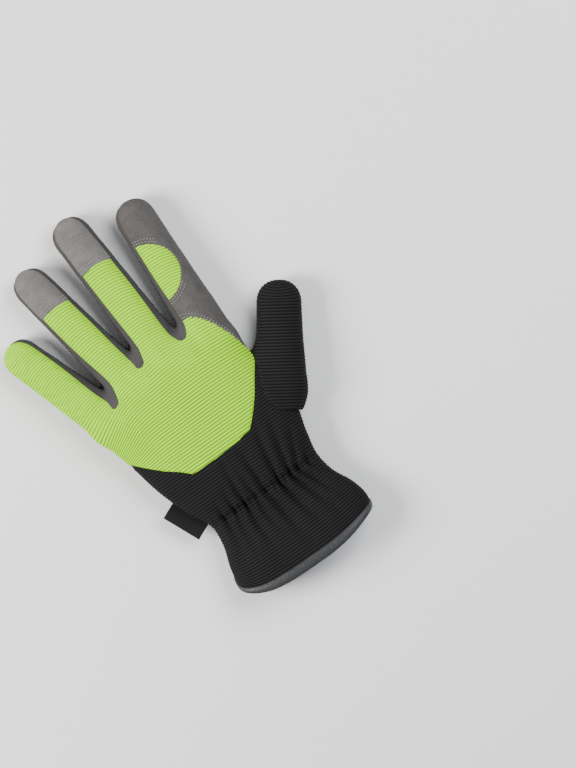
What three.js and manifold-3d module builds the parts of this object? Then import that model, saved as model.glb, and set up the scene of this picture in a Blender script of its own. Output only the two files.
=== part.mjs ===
// A slip-on work glove for the left hand, lying palm down with its fingers along +Y, thumb towards +X.
// Millimetres, +Z up. The glove is one hollow skin, made from rounded tubes for the hand and the five
// fingers and flattened where it rests. Seam lines cut that skin into the pieces that are sewn together.
import * as THREE from "three";
import { mergeVertices } from "three/addons/utils/BufferGeometryUtils.js";
import Module from "manifold-3d";

const wasm = await Module();
wasm.setup();

// Driving dimensions
const cuffLength = 54; // hem to the wrist elastic
const handLength = 115; // wrist elastic to the web beside the middle finger
const fingerLength = 112; // middle finger, from its root inside the hand to its tip
const thumbLength = 86.5; // from its root inside the hand
const hemBreadth = 94;
const wristBreadth = 77;
const handBreadth = 102;
const fingerBreadth = 26;
const thumbBreadth = 28;
const hemThickness = 27;
const wristThickness = 23;
const handThickness = 28;
const fingerThickness = 20;
const thumbThickness = 21;
const wall = 1.5; // suede and knit
const seamGap = 0.32; // between neighbouring pieces
const sideSeam = 9.5; // height of the seam that joins the back to the palm
const bindingWidth = 5.5; // tape seen on one side of the cuff
const bindingWall = 0.7; // one layer of the folded tape
const middleCapLength = 36;
const ringCapLength = 31.4;
const insetLength = 37; // half-moon of knit on the index finger, along the finger
const insetDepth = 18; // the same, across it
const tagLength = 25;
const tagWidth = 9;
const tagThickness = 1.2;

// How fine the facets are
const columnsPerFold = 2;
const palmColumns = 7;
const fingerColumns = 14;
const tipRows = 4;
const insetSteps = 10;

// Roundness of the sections: 2 is an ellipse, more is squarer
const handRoundness = 2.5;
const fingerRoundness = 2.3;

const mix = (a, b, t) => a + (b - a) * t;
const ease = (a, b, v) => THREE.MathUtils.smoothstep(v, a, b);
const dome = (s, n) => Math.pow(Math.max(0, 1 - Math.pow(Math.abs(s), n)), 1 / n);
const range = (count) => Array.from({ length: count + 1 }, (_, i) => i / count);

// The value of one column of a table at a place along it, on a smooth curve through its rows
function follow(table, column, at) {
  const last = table.length - 1;
  if (at <= table[0].at) return table[0][column];
  if (at >= table[last].at) return table[last][column];
  let i = 0;
  while (at > table[i + 1].at) i++;
  const slope = (p, q) => (table[q][column] - table[p][column]) / (table[q].at - table[p].at);
  const here = slope(i, i + 1);
  const before = i > 0 ? (slope(i - 1, i) + here) / 2 : here;
  const after = i + 1 < last ? (slope(i + 1, i + 2) + here) / 2 : here;
  const span = table[i + 1].at - table[i].at;
  const t = (at - table[i].at) / span;
  return (
    (2 * t ** 3 - 3 * t ** 2 + 1) * table[i][column] +
    (t ** 3 - 2 * t ** 2 + t) * span * before +
    (3 * t ** 2 - 2 * t ** 3) * table[i + 1][column] +
    (t ** 3 - t ** 2) * span * after
  );
}

// The hand from hem to knuckles, with y = 0 at the wrist elastic. left, right: the outline's x; rise: how
// far the two ends of that row of cloth lie towards the fingers; bend: how suddenly they do;
// thick: height above the surface
const onCuff = (share) => share * cuffLength;
const onHand = (share) => share * handLength;
const hem = hemBreadth;
const wrist = wristBreadth;
const palm = handBreadth;
const hand = [
  { at: onCuff(-1), left: -0.535 * hem, right: 0.405 * hem, leftRise: onCuff(0.13), rightRise: onCuff(0.22),
    bend: 3, thick: 0.98 * hemThickness },
  { at: onCuff(-0.8), left: -0.565 * hem, right: 0.436 * hem, leftRise: onCuff(0.05), rightRise: onCuff(0.12),
    bend: 3, thick: hemThickness },
  { at: onCuff(-0.5), left: -0.545 * hem, right: 0.415 * hem, leftRise: onCuff(0.01), rightRise: onCuff(0.03),
    bend: 2, thick: 0.97 * hemThickness },
  { at: onCuff(-0.22), left: -0.61 * wrist, right: 0.425 * wrist, leftRise: 0, rightRise: 0,
    bend: 2, thick: 1.05 * wristThickness },
  { at: onCuff(0), left: -0.6 * wrist, right: 0.4 * wrist, leftRise: 0, rightRise: 0,
    bend: 2, thick: wristThickness },
  { at: onHand(0.12), left: -0.505 * palm, right: 0.325 * palm, leftRise: 0, rightRise: 0,
    bend: 2, thick: 0.91 * handThickness },
  { at: onHand(0.3), left: -0.59 * palm, right: 0.375 * palm, leftRise: 0, rightRise: 0,
    bend: 2, thick: 0.98 * handThickness },
  { at: onHand(0.5), left: -0.64 * palm, right: 0.362 * palm, leftRise: 0, rightRise: 0,
    bend: 2, thick: handThickness },
  { at: onHand(0.65), left: -0.68 * palm, right: 0.322 * palm, leftRise: onHand(-0.02), rightRise: onHand(-0.01),
    bend: 1.8, thick: handThickness },
  { at: onHand(0.83), left: -0.72 * palm, right: 0.325 * palm, leftRise: onHand(-0.09), rightRise: onHand(-0.06),
    bend: 1.6, thick: 0.94 * handThickness },
  { at: onHand(0.94), left: -0.72 * palm, right: 0.31 * palm, leftRise: onHand(-0.17), rightRise: onHand(-0.1),
    bend: 1.5, thick: 0.76 * handThickness },
  { at: onHand(1), left: -0.69 * palm, right: 0.28 * palm, leftRise: onHand(-0.19), rightRise: onHand(-0.11),
    bend: 1.5, thick: 0.5 * handThickness },
];
const handLevel = 0.46; // height of the outline, as a share of the thickness
const underside = 0.55; // fullness below the outline, which the resting surface cuts flat

// Folds drawn into the back by the wrist elastic. share: place across the back, 1 at the thumb; up, down:
// how far they reach, as shares of the cuff; rise: height as a share of the wrist's thickness
const folds = [
  { share: -0.84, up: 0.15, down: 0.4, rise: 0.05 },
  { share: -0.63, up: 0.2, down: 0.45, rise: 0.06 },
  { share: -0.42, up: 0.3, down: 0.36, rise: 0.07 },
  { share: -0.21, up: 0.5, down: 0.42, rise: 0.08 },
  { share: 0, up: 0.42, down: 0.4, rise: 0.075 },
  { share: 0.21, up: 0.6, down: 0.42, rise: 0.09 },
  { share: 0.42, up: 0.85, down: 0.36, rise: 0.1 },
  { share: 0.63, up: 1, down: 0.32, rise: 0.1 },
  { share: 0.84, up: 0.8, down: 0.28, rise: 0.07 },
];
const foldPitch = folds[1].share - folds[0].share;
function foldRise(share, y) {
  let rise = 0;
  for (const fold of folds) {
    const reach = (y > 0 ? fold.up : fold.down) * cuffLength;
    const near = Math.max(0, 1 - Math.abs(share - fold.share) / foldPitch);
    rise += (2 * near - 1) * (near > 0) * fold.rise * wristThickness * Math.exp(-((y / reach) ** 2));
  }
  return rise;
}

// The cloth lies a little above the surface where the folded tape carries it
const hemLine = -cuffLength;
const tapeEnd = hemLine + bindingWidth;
const rampLength = 2 * bindingWidth;
const tapeRows = [hemLine, tapeEnd];
const hemRows = [...tapeRows, tapeEnd + 0.5 * rampLength, tapeEnd + rampLength];
const handRows = hemRows.concat(
  [-0.5, -0.3, -0.13].map(onCuff),
  [0, 0.06, 0.14, 0.24, 0.36, 0.5, 0.65, 0.76, 0.85, 0.92, 0.97, 1].map(onHand),
);
const rest = (y) => (bindingWall + seamGap) * (1 - ease(tapeEnd, tapeEnd + rampLength, y));

// A closed tube through rings of points, all with the same number of points
function tube(rings) {
  const count = rings[0].length;
  const points = rings.flat();
  const faces = [];
  for (let r = 0; r + 1 < rings.length; r++) {
    for (let c = 0; c < count; c++) {
      const a = r * count + c;
      const b = r * count + ((c + 1) % count);
      faces.push([a, b, b + count], [a, b + count, a + count]);
    }
  }
  for (const [r, ahead] of [[0, false], [rings.length - 1, true]]) {
    const middle = new THREE.Vector3();
    rings[r].forEach((p) => middle.addScaledVector(p, 1 / count));
    points.push(middle);
    for (let c = 0; c < count; c++) {
      const a = r * count + c;
      const b = r * count + ((c + 1) % count);
      faces.push(ahead ? [a, b, points.length - 1] : [b, a, points.length - 1]);
    }
  }
  let volume = 0;
  for (const [a, b, c] of faces) {
    volume += points[a].dot(points[b].clone().cross(points[c]));
  }
  if (volume < 0) faces.forEach((face) => face.reverse());
  return solid(points.flatMap((p) => [p.x, p.y, p.z]), faces.flat());
}

function solid(vertices, triangles) {
  return new wasm.Manifold(
    new wasm.Mesh({
      numProp: 3,
      vertProperties: new Float32Array(vertices),
      triVerts: new Uint32Array(triangles),
    }),
  );
}

// The columns round a section, each a share across and a share up or down
const topShares = [1, 0.975];
for (const fold of [...folds].reverse()) {
  for (let i = 0; i < columnsPerFold; i++) {
    topShares.push(fold.share + foldPitch * (0.5 - i / columnsPerFold));
  }
}
topShares.push(-0.945, -0.985);
const column = (s, sign, n) => ({ s, t: sign * dome(s, n) });
const handColumns = topShares
  .map((s) => column(s, 1, handRoundness))
  .concat(range(palmColumns).map((v) => column(-Math.cos(v * Math.PI), -1, handRoundness)))
  .slice(0, -1);
const fingerRing = range(fingerColumns)
  .slice(0, -1)
  .map((v) => {
    const angle = 2 * Math.PI * v;
    const s = Math.sign(Math.cos(angle)) * Math.abs(Math.cos(angle)) ** (2 / fingerRoundness);
    return column(s, Math.sign(Math.sin(angle)) || 1, fingerRoundness);
  });

// The hand and cuff, grown outwards by d, over the given rows
function handTube(d, rows = handRows) {
  return tube(
    rows.map((y) => {
      const [left, right] = [follow(hand, "left", y) - d, follow(hand, "right", y) + d];
      const thick = follow(hand, "thick", y);
      const level = handLevel * thick;
      return handColumns.map(({ s, t }) => {
        const side = s < 0 ? "leftRise" : "rightRise";
        const rise = follow(hand, side, y) * Math.abs(s) ** follow(hand, "bend", y);
        const half = (t > 0 ? 1 - handLevel : underside) * thick + d;
        const fold = t > 0 ? foldRise(s, y) * Math.min(1, 2 * t) : 0;
        const z = Math.max(rest(y) - d, level + t * half + fold);
        return new THREE.Vector3(mix(left, right, (s + 1) / 2), y + rise, z);
      });
    }),
  );
}

// The fingers. x, y: the root, as shares of the hand's breadth and length; lean: degrees from straight
// ahead; length, breadth: shares of the middle finger's length and breadth, or a length by itself
const fingers = [
  { name: "little", x: -0.58, y: 0.743, lean: -19.3, length: 0.695 * fingerLength, breadth: 0.93 * fingerBreadth },
  { name: "ring", x: -0.349, y: 0.796, lean: -10.4, length: 0.903 * fingerLength, breadth: 0.945 * fingerBreadth },
  { name: "middle", x: -0.093, y: 0.791, lean: -3.1, length: fingerLength, breadth: fingerBreadth },
  { name: "index", x: 0.182, y: 0.783, lean: 2.4, length: 0.893 * fingerLength, breadth: 0.975 * fingerBreadth },
  { name: "thumb", x: 0.234, y: 0.235, lean: 33.5, length: thumbLength, breadth: thumbBreadth },
];
fingers.forEach((finger) => {
  const turn = THREE.MathUtils.degToRad(finger.lean);
  finger.root = new THREE.Vector2(finger.x * handBreadth, finger.y * handLength);
  finger.along = new THREE.Vector2(Math.sin(turn), Math.cos(turn));
  finger.across = new THREE.Vector2(Math.cos(turn), -Math.sin(turn));
  finger.thick = finger.name === "thumb" ? thumbThickness : fingerThickness;
});
const [little, ring, middle, index, thumb] = fingers;

// Breadth and thickness along a finger and along the thumb, as shares of its own
const fingerTaper = [
  { at: 0, breadth: 1.1, thick: 1.12 },
  { at: 0.25, breadth: 1.06, thick: 1.1 },
  { at: 0.5, breadth: 1, thick: 1.02 },
  { at: 0.85, breadth: 0.96, thick: 0.92 },
  { at: 1, breadth: 0.94, thick: 0.84 },
];
const thumbTaper = [
  { at: 0, breadth: 0.5, thick: 0.9 },
  { at: 0.08, breadth: 0.8, thick: 1.02 },
  { at: 0.2, breadth: 1.12, thick: 1.12 },
  { at: 0.33, breadth: 1.1, thick: 1.12 },
  { at: 0.55, breadth: 1, thick: 1.04 },
  { at: 0.85, breadth: 0.96, thick: 0.94 },
  { at: 1, breadth: 0.94, thick: 0.86 },
];

// One finger, grown outwards by d: straight rows, then the round tip
function fingerTube(finger, d) {
  const tip = 0.5 * finger.breadth;
  const straight = finger.length - tip;
  const taper = finger === thumb ? thumbTaper : fingerTaper;
  const rows = range(4).map((v) => ({ along: v * straight, scale: 1 }));
  for (const v of range(tipRows).slice(1)) {
    const angle = 0.965 * v * (Math.PI / 2);
    rows.push({ along: straight + Math.sin(angle) * (tip + d), scale: dome(Math.sin(angle), fingerRoundness) });
  }
  return tube(
    rows.map(({ along, scale }) => {
      const share = along / finger.length;
      const half = (0.5 * finger.breadth * follow(taper, "breadth", share) + d) * scale;
      const thick = finger.thick * follow(taper, "thick", share);
      return fingerRing.map(({ s, t }) => {
        const p = finger.root.clone().addScaledVector(finger.along, along).addScaledVector(finger.across, s * half);
        const height = (t > 0 ? 1 - handLevel : underside) * thick + d;
        return new THREE.Vector3(p.x, p.y, Math.max(-d, handLevel * thick + t * height * scale));
      });
    }),
  );
}

const whole = (d, rows) => fingers.reduce((sum, finger) => sum.add(fingerTube(finger, d)), handTube(d, rows));
const mouth = [hemLine - cuffLength, hemLine - 0.1 * cuffLength];
const skin = whole(0).subtract(whole(-wall, mouth.concat(handRows)));

// Plan shapes: points on the hand as shares of its breadth and length, on a finger as shares of its half
// breadth and its length, and in the gap between two fingers at a distance from the web
const spot = (x, y) => new THREE.Vector2(x * handBreadth, y * handLength);
const on = (finger, across, along) =>
  finger.root
    .clone()
    .addScaledVector(finger.along, along * finger.length)
    .addScaledVector(finger.across, (across * finger.breadth) / 2);
const ringLittleWeb = { at: spot(-0.508, 0.909), left: little, right: ring, seamDepth: onHand(0.115) };
const middleRingWeb = { at: spot(-0.2514, 1), left: ring, right: middle, seamDepth: onHand(0.105) };
const indexMiddleWeb = { at: spot(0.046, 0.968), left: middle, right: index, seamDepth: onHand(0.08) };
const thumbWeb = { at: spot(0.318, 0.575), left: index, right: thumb };
const gapPoint = (web, distance, across = 0) => {
  const ahead = web.left.along.clone().add(web.right.along).normalize();
  return web.at.clone().add(new THREE.Vector2(
    distance * ahead.x + across * ahead.y,
    distance * ahead.y - across * ahead.x,
  ));
};

// The same outline, moved outwards by d
function grow(points, d) {
  const area = points.reduce((sum, p, i) => sum + p.cross(points[(i + 1) % points.length]), 0);
  const outward = area > 0 ? d : -d;
  return points.map((p, i) => {
    const before = points[(i + points.length - 1) % points.length];
    const after = points[(i + 1) % points.length];
    const [a, b] = [p.clone().sub(before).normalize(), after.clone().sub(p).normalize()];
    const normal = new THREE.Vector2(a.y + b.y, -a.x - b.x).normalize();
    const miter = Math.min(2.5, 1 / Math.max(0.1, normal.dot(new THREE.Vector2(a.y, -a.x))));
    return p.clone().addScaledVector(normal, outward * miter);
  });
}

const low = -bindingWidth;
const high = 2 * handThickness;
// A straight-sided block over an outline, from one height to another
function block(outline, bottom = low, top = high) {
  const shape = new THREE.Shape(outline);
  const geometry = new THREE.ExtrudeGeometry(shape, { depth: top - bottom, bevelEnabled: false });
  geometry.translate(0, 0, bottom);
  geometry.deleteAttribute("normal");
  geometry.deleteAttribute("uv");
  const merged = mergeVertices(geometry);
  return solid(merged.attributes.position.array, merged.index.array);
}

// Outlines of the pieces, in plan
const beyond = 1.6; // clear of everything, as a share of the hand
const past = 1.4; // clear of one finger, as a share of it
const reach = fingerLength; // from a web, long enough to run past every tip
const everything = [spot(-beyond, -beyond), spot(beyond, -beyond), spot(beyond, 3), spot(-beyond, 3)];
const backBlack = [
  spot(-1, 0.7), spot(-0.63, 0.5), spot(-0.49, 0.387), spot(-0.355, 0.285), spot(-0.19, 0.284),
  spot(0.06, 0.305), spot(0.197, 0.435), spot(0.272, 0.53), thumbWeb.at, gapPoint(thumbWeb, reach),
  spot(beyond, 1.2), spot(beyond, -1), spot(-1, -1),
];
const palmBlack = [
  on(thumb, 0.4, 1.2), on(thumb, 0.64, 0.81), on(thumb, 0.68, 0.66), on(thumb, 0.52, 0.33), spot(0.35, 0.25),
  spot(0.24, 0.16), spot(0.14, 0.085), spot(0.1, 0.03), spot(0.075, -0.06), spot(0.055, -0.15),
  spot(0.045, -1), spot(beyond, -1), spot(beyond, 1.2),
];
const thumbArea = [
  gapPoint(thumbWeb, reach), thumbWeb.at, spot(0.272, 0.53), spot(0.393, 0.31), spot(0.393, 0.1),
  spot(beyond, 0.1), spot(beyond, 1.2),
];
const frontWeb = spot(-0.238, 0.9);
const ringFront = [
  spot(-0.497, 0.875), spot(-0.4, 0.897), spot(-0.3, 0.925), frontWeb, middleRingWeb.at,
  gapPoint(middleRingWeb, reach), gapPoint(ringLittleWeb, reach), ringLittleWeb.at,
];
const middleFront = [
  middleRingWeb.at, frontWeb, spot(-0.07, 0.957), indexMiddleWeb.at,
  gapPoint(indexMiddleWeb, reach), gapPoint(middleRingWeb, reach),
];
const seamShare = 0.8; // the strips between the fingers start here on a finger's back
const forkEnd = { length: 0.2 * fingerBreadth, spread: 0.13 * fingerBreadth };
const forks = [ringLittleWeb, middleRingWeb, indexMiddleWeb].map((web) => [
  gapPoint(web, forkEnd.length - web.seamDepth, -forkEnd.spread),
  gapPoint(web, -web.seamDepth, -0.4 * forkEnd.spread),
  gapPoint(web, -web.seamDepth, 0.4 * forkEnd.spread),
  gapPoint(web, forkEnd.length - web.seamDepth, forkEnd.spread),
  on(web.right, -seamShare - 0.03, 0.27), on(web.right, -seamShare, 0.6), on(web.right, -seamShare + 0.02, 0.9),
  on(web.right, -1.2, 1.02), gapPoint(web, reach), on(web.left, 1.2, 1.02),
  on(web.left, seamShare - 0.02, 0.9), on(web.left, seamShare, 0.6), on(web.left, seamShare + 0.03, 0.27),
]);
const seamBow = 0.015; // the cap's seam bows towards the tip, as a share of the finger
const seamTilt = 0.012; // and runs lower on its thumb side
const cap = (finger, length) => {
  const seam = 1 - length / finger.length;
  return [
    on(finger, -past, seam + seamTilt), on(finger, 0, seam + seamBow), on(finger, past, seam - seamTilt),
    on(finger, past, past), on(finger, -past, past),
  ];
};
const patch = [
  on(index, -past, 0.215), on(index, -0.6, 0.215), on(index, 0, 0.165), on(index, 0.42, 0.1), on(index, 0.8, 0),
  on(index, 1.05, -0.1), on(index, 2, -0.2), on(index, 2, past), on(index, -past, past),
];
const insetMiddle = 0.55; // along the index finger
const insetShape = range(insetSteps).map((v) => {
  const angle = Math.PI * (v - 0.5);
  const across = (2 * insetDepth * Math.cos(angle)) / index.breadth - seamShare - 0.02;
  return on(index, across, insetMiddle + (0.5 * insetLength * Math.sin(angle)) / index.length);
});
insetShape.push(on(index, -past, insetMiddle + (0.5 * insetLength) / index.length));
insetShape.push(on(index, -past, insetMiddle - (0.5 * insetLength) / index.length));

// The folded tape round the cuff, with a slot for the cloth
const upTo = (y) => handTube(handBreadth, [...mouth, y]); // all of the cuff below a row
const slot = handTube(seamGap, hemRows)
  .subtract(handTube(-wall - seamGap, mouth.concat(hemRows)))
  .subtract(upTo(hemLine + bindingWall));
const tape = handTube(seamGap + bindingWall, tapeRows)
  .subtract(handTube(-wall - seamGap - bindingWall, mouth.concat(hemRows)))
  .subtract(slot);

// Each piece is taken from what is left of the cloth, and the rest keeps clear of it by the gap
let cloth = skin.subtract(upTo(hemLine + bindingWall + seamGap));
function take(cutter, cleared) {
  const piece = cloth.intersect(cutter);
  cloth = cloth.subtract(cleared);
  return piece;
}
const takeOutline = (outline) => take(block(outline), block(grow(outline, seamGap)));

const black = take(
  block(backBlack, sideSeam).add(block(palmBlack, low, sideSeam)),
  block(grow(backBlack, seamGap), sideSeam - seamGap).add(block(grow(palmBlack, seamGap), low, sideSeam + seamGap)),
);
const thumbBack = black.intersect(block(thumbArea));
const wristBack = black.subtract(block(grow(thumbArea, seamGap)));
const back = cloth.intersect(block(everything, sideSeam + seamGap));
cloth = cloth.intersect(block(everything, low, sideSeam));
const ringFrontPiece = takeOutline(ringFront);
const middleFrontPiece = takeOutline(middleFront);
const palmPanel = cloth;
cloth = back;
const forkPieces = forks.map(takeOutline);
const ringCap = takeOutline(cap(ring, ringCapLength));
const middleCap = takeOutline(cap(middle, middleCapLength));
const inset = take(
  block(insetShape).intersect(block(patch)),
  block(grow(insetShape, seamGap)).intersect(block(grow(patch, seamGap))),
);
const patchPiece = takeOutline(patch);
const backPanel = cloth;

// The woven tag leaves the side seam at the little finger's side, just above the elastic
const tagTop = spot(-0.593, 0.211);
const tagLean = THREE.MathUtils.degToRad(24);
const tagAlong = new THREE.Vector2(Math.sin(tagLean), -Math.cos(tagLean)).multiplyScalar(tagLength);
const tagOut = new THREE.Vector2(-Math.cos(tagLean), -Math.sin(tagLean)).multiplyScalar(0.82 * tagWidth);
const tagIn = tagOut.clone().multiplyScalar(-0.6);
const tagOutline = [
  tagTop.clone().add(tagOut),
  tagTop.clone().add(tagIn),
  tagTop.clone().add(tagIn).add(tagAlong),
  tagTop.clone().add(tagOut).add(tagAlong),
];
const tagHeight = sideSeam + 0.5 * seamGap;
const tag = block(tagOutline, tagHeight - tagThickness / 2, tagHeight + tagThickness / 2).subtract(handTube(seamGap));

const suede = { color: 0x8a8683, roughness: 0.95 };
const darkSuede = { color: 0x5c5856, roughness: 0.95 };
const greenKnit = { color: 0xbdf02e, roughness: 0.8 };
const blackKnit = { color: 0x1d1c1e, roughness: 0.85 };
const leatherette = { color: 0x3f444b, roughness: 0.45 };
const woven = { color: 0x151518, roughness: 0.7 };

const pieces = [
  ["palm_panel", palmPanel, suede],
  ["middle_finger_front", middleFrontPiece, suede],
  ["ring_finger_front", ringFrontPiece, suede],
  ["back_panel", backPanel, greenKnit],
  ["index_patch", patchPiece, suede],
  ["index_knuckle_inset", inset, greenKnit],
  ["middle_fingertip_cap", middleCap, suede],
  ["ring_fingertip_cap", ringCap, suede],
  ["fourchette_ring_little", forkPieces[0], darkSuede],
  ["fourchette_middle_ring", forkPieces[1], darkSuede],
  ["fourchette_index_middle", forkPieces[2], darkSuede],
  ["wrist_back", wristBack, blackKnit],
  ["thumb_back", thumbBack, blackKnit],
  ["hem_binding", tape, leatherette],
  ["label_tag", tag, woven],
];

const glove = new THREE.Group();
for (const [name, piece, finish] of pieces) {
  const mesh = piece.getMesh();
  const geometry = new THREE.BufferGeometry();
  geometry.setAttribute("position", new THREE.BufferAttribute(mesh.vertProperties, 3));
  geometry.setIndex(new THREE.BufferAttribute(mesh.triVerts, 1));
  geometry.computeVertexNormals();
  const material = new THREE.MeshStandardMaterial({ ...finish, metalness: 0 });
  const node = new THREE.Mesh(geometry, material);
  node.name = name;
  glove.add(node);
}

// The origin is at the middle of the glove's box, on the surface that it rests on
const box = new THREE.Box3().setFromObject(glove);
glove.position.set(-(box.min.x + box.max.x) / 2, -(box.min.y + box.max.y) / 2, -box.min.z);

export default glove;
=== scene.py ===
# A left-hand work glove with a ribbed knit back and a suede-like palm, lying palm down.
import math

import bmesh
import bpy
import numpy as np
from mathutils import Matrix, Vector


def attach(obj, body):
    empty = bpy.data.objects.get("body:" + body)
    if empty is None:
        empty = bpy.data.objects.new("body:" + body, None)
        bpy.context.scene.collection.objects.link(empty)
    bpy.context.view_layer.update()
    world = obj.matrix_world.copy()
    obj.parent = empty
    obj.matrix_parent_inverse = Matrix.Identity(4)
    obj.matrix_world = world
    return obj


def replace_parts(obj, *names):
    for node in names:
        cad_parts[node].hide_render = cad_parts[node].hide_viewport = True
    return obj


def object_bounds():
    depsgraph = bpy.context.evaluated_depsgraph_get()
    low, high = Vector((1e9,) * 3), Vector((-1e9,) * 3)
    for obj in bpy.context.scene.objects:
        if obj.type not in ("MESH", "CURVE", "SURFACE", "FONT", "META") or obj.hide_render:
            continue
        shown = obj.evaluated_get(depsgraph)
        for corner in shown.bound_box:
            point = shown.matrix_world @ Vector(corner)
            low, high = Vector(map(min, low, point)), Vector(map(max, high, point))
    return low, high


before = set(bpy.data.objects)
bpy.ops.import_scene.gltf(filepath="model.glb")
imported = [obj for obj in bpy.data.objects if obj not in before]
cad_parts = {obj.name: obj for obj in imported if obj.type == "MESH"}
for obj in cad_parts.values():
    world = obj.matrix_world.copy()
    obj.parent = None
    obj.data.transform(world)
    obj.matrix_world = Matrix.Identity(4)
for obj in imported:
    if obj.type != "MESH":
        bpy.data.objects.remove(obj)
cad_box = [list(corner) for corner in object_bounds()]

# The view: straight down on the glove with a long lens, turned so that the fingers point up and to
# the left. The glove lies on a pale board, in soft light that comes from the picture's upper left.
MM = 0.001
LITTLE_FINGER_SIDE = -92.75  # the glove's own frame has y = 0 at the wrist elastic
HEM_LINE = -54.0
SHIFT = np.array([cad_box[0][0] / MM - LITTLE_FINGER_SIDE, cad_box[0][1] / MM - HEM_LINE, 0.0])
VIEW_TURN = math.radians(-35)
VIEW_MIDDLE = (40.4, 44.5)  # in the glove's own frame
VIEW_HEIGHT = 460.8
VIEW_DISTANCE = 4000.0
VIEW_LEVEL = 15.0  # the height at which the view has that size

view_centre = (np.array([*VIEW_MIDDLE, 0.0]) + SHIFT) * MM
camera = bpy.data.objects.new("camera", bpy.data.cameras.new("camera"))
bpy.context.collection.objects.link(camera)
camera.location = (view_centre[0], view_centre[1], (VIEW_LEVEL + VIEW_DISTANCE) * MM)
camera.rotation_euler = (0, 0, VIEW_TURN)
camera.data.sensor_fit = "VERTICAL"
camera.data.angle = 2 * math.atan(VIEW_HEIGHT / 2 / VIEW_DISTANCE)
camera.data.clip_end = 10
bpy.context.scene.camera = camera


class Field:
    """A socket of a material, with sums and products written as plain expressions."""

    def __init__(self, tree, socket):
        self.tree = tree
        self.socket = socket

    def math(self, operation, other):
        return node(self.tree, "ShaderNodeMath", {"operation": operation}, {0: self, 1: other})

    def __add__(self, other):
        return self.math("ADD", other)

    def __mul__(self, other):
        return self.math("MULTIPLY", other)

    __rmul__ = __mul__


def node(tree, kind, settings=None, inputs=None, output=0):
    """Adds a node with its settings, and the values or links of its sockets; gives one output."""
    made = tree.nodes.new(kind)
    for name, value in (settings or {}).items():
        setattr(made, name, value)
    for name, value in (inputs or {}).items():
        socket = made.inputs[name]
        if isinstance(value, Field):
            tree.links.new(value.socket, socket)
        else:
            socket.default_value = (*value, 1) if socket.type == "RGBA" else value
    return Field(tree, made.outputs[output])


def blend_colours(tree, share, first, second):
    """Mixes two colours by a share from 0, the first, to 1, the second."""
    return node(tree, "ShaderNodeMix", {"data_type": "RGBA", "clamp_factor": True},
                {0: share, 6: first, 7: second}, output=2)


def position(tree, scale, stretch=(1.0, 1.0, 1.0)):
    """The place on the object in millimetres, scaled and stretched for a texture."""
    place = node(tree, "ShaderNodeTexCoord", output=3)
    return node(tree, "ShaderNodeVectorMath", {"operation": "MULTIPLY"},
                {0: place, 1: tuple(scale * part / MM for part in stretch)})


def noise(tree, size, detail=2.0, stretch=(1.0, 1.0, 1.0)):
    """Soft noise with features of about the given size in millimetres."""
    return node(tree, "ShaderNodeTexNoise", None,
                {"Vector": position(tree, 1 / size, stretch), "Scale": 1.0, "Detail": detail})


def material(name, roughness, **constants):
    """A new material with the values that are the same all over its surface."""
    made = bpy.data.materials.new(name)
    made.use_nodes = True
    shader = made.node_tree.nodes["Principled BSDF"]
    shader.inputs["Roughness"].default_value = roughness
    for socket, value in constants.items():
        shader.inputs[socket.replace("_", " ")].default_value = value
    return made, made.node_tree, shader


def finish_with(tree, shader, colour, height=None, strength=0.5, depth=0.2):
    """Links the colour, and the relief in millimetres as a bump."""
    tree.links.new(colour.socket, shader.inputs["Base Color"])
    if height is not None:
        bump = node(tree, "ShaderNodeBump", None,
                    {"Strength": strength, "Distance": depth * MM, "Height": height})
        tree.links.new(bump.socket, shader.inputs["Normal"])


BOARD_REACH, BOARD_DROP = 1.6, 0.0004  # metres
board_corners = [(x * BOARD_REACH, y * BOARD_REACH, -BOARD_DROP)
                 for x, y in ((-1, -1), (1, -1), (1, 1), (-1, 1))]
board_mesh = bpy.data.meshes.new("board")
board_mesh.from_pydata(board_corners, [], [(0, 1, 2, 3)])
board = bpy.data.objects.new("board", board_mesh)
bpy.context.collection.objects.link(board)
board_finish, tree, shader = material("board_finish", 0.7)
clouds = noise(tree, 120.0)
finish_with(tree, shader, blend_colours(tree, clouds, (0.92, 0.918, 0.91), (0.95, 0.948, 0.942)))
board_mesh.materials.append(board_finish)


def lamp(name, place, size, power, colour):
    """A soft square light at a place in metres, facing the glove."""
    data = bpy.data.lights.new(name, "AREA")
    data.size = size
    data.energy = power
    data.color = colour
    made = bpy.data.objects.new(name, data)
    bpy.context.collection.objects.link(made)
    made.location = place
    made.rotation_euler = (Vector((0, 0, 0)) - Vector(place)).to_track_quat("-Z", "Y").to_euler()


lamp("window", (-1.0, 0.4, 0.8), 0.6, 31.5, (1.0, 0.985, 0.96))
lamp("fill", (0.75, 0.15, 0.95), 0.8, 16.5, (0.95, 0.97, 1.0))
world = bpy.data.worlds.new("room")
bpy.context.scene.world = world
world.use_nodes = True
world.node_tree.nodes["Background"].inputs["Color"].default_value = (0.93, 0.95, 1.0, 1)
world.node_tree.nodes["Background"].inputs["Strength"].default_value = 0.34

# The back panel: one piece of fluorescent ribbed stretch knit from the wrist chevron over the knuckles
# and the backs of the little, ring and middle fingers. Its ribs run across the hand and follow each
# finger. All the cloth of the glove lies on one form, made here from rounded sections.
CUFF, HAND, MIDDLE_LENGTH, THUMB_LENGTH = -HEM_LINE, 115.0, 112.0, 86.5
HEM_BREADTH, WRIST_BREADTH, HAND_BREADTH, FINGER_BREADTH, THUMB_BREADTH = 94.0, 77.0, 102.0, 26.0, 28.0
HEM_THICK, WRIST_THICK, HAND_THICK, FINGER_THICK, THUMB_THICK = 27.0, 23.0, 28.0, 20.0, 21.0
SIDE_SEAM = 9.5
HAND_ROUND, FINGER_ROUND, WEB_ROUND = 2.5, 2.3, 2.5
HAND_SCALE, FINGER_SCALE = 12, 10  # about the millimetres in which a field grows by one
ROOT_START, ROOT_LENGTH = 6, 16  # where a finger's form rounds off inside the hand
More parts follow.
